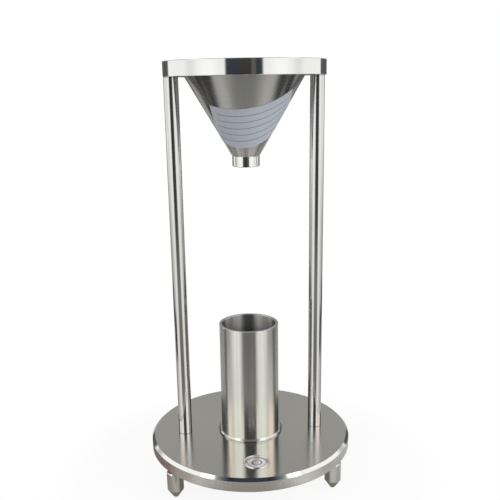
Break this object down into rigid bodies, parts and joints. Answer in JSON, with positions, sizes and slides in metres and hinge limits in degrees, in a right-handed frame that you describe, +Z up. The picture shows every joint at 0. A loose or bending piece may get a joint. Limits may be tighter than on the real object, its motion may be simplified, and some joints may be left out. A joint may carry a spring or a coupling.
{
  "type": "bulk density tester",
  "caption": "Bench stand that drops powder from a conical steel funnel in a post-mounted ring into a measuring cup on a round base with a bubble level and levelling feet.",
  "frame": {"origin": "middle of the surface under the feet, on the common axis of funnel, cup and plate", "axes": "+Z up along the funnel's axis, the posts lie along X, the bubble level marks the front at -Y"},
  "size_m": [0.15, 0.15, 0.3056],
  "materials": {
    "plate_steel": "face-turned stainless steel",
    "post_steel": "polished stainless rod",
    "ring_steel": "mirror-turned stainless rim",
    "cone_steel": "satin turned stainless steel",
    "outlet_steel": "polished stainless steel",
    "cup_steel": "satin turned stainless steel",
    "foot_steel": "turned stainless steel",
    "stud_steel": "threaded stainless steel",
    "screw_steel": "stainless socket-head screw",
    "label_paper": "plain coated paper sticker",
    "level_metal": "turned bright rim",
    "level_dial": "pale ringed disc",
    "level_fluid": "clear spirit",
    "level_lens": "clear dished lens"
  },
  "bodies": {
    "stand": {"base_plate": "plate_steel", "post_left": "post_steel", "post_right": "post_steel", "post_base_screws": "screw_steel", "top_ring": "ring_steel", "ring_screws": "screw_steel", "level_housing": "level_metal", "level_dial": "level_dial", "level_fluid": "level_fluid", "level_lens": "level_lens"},
    "funnel": {"funnel_cone": "cone_steel", "funnel_outlet": "outlet_steel", "funnel_label": "label_paper"},
    "cup": {"cup_tube": "cup_steel", "cup_base": "cup_steel"},
    "front_left_foot": {"foot_front_left": "foot_steel", "foot_stud_front_left": "stud_steel"},
    "front_right_foot": {"foot_front_right": "foot_steel", "foot_stud_front_right": "stud_steel"},
    "rear_foot": {"foot_rear": "foot_steel", "foot_stud_rear": "stud_steel"}
  },
  "joints": [
    {"name": "funnel_lift", "type": "slide", "parent": "stand", "child": "funnel", "axis": [0, 0, 1], "range_m": [0, 0.08]},
    {"name": "cup_lift", "type": "slide", "parent": "stand", "child": "cup", "axis": [0, 0, 1], "range_m": [0, 0.1]},
    {"name": "front_left_foot_screw", "type": "slide", "parent": "stand", "child": "front_left_foot", "axis": [0, 0, 1], "range_m": [-0.003, 0.002]},
    {"name": "front_right_foot_screw", "type": "slide", "parent": "stand", "child": "front_right_foot", "axis": [0, 0, 1], "range_m": [-0.003, 0.002]},
    {"name": "rear_foot_screw", "type": "slide", "parent": "stand", "child": "rear_foot", "axis": [0, 0, 1], "range_m": [-0.003, 0.002]}
  ]
}
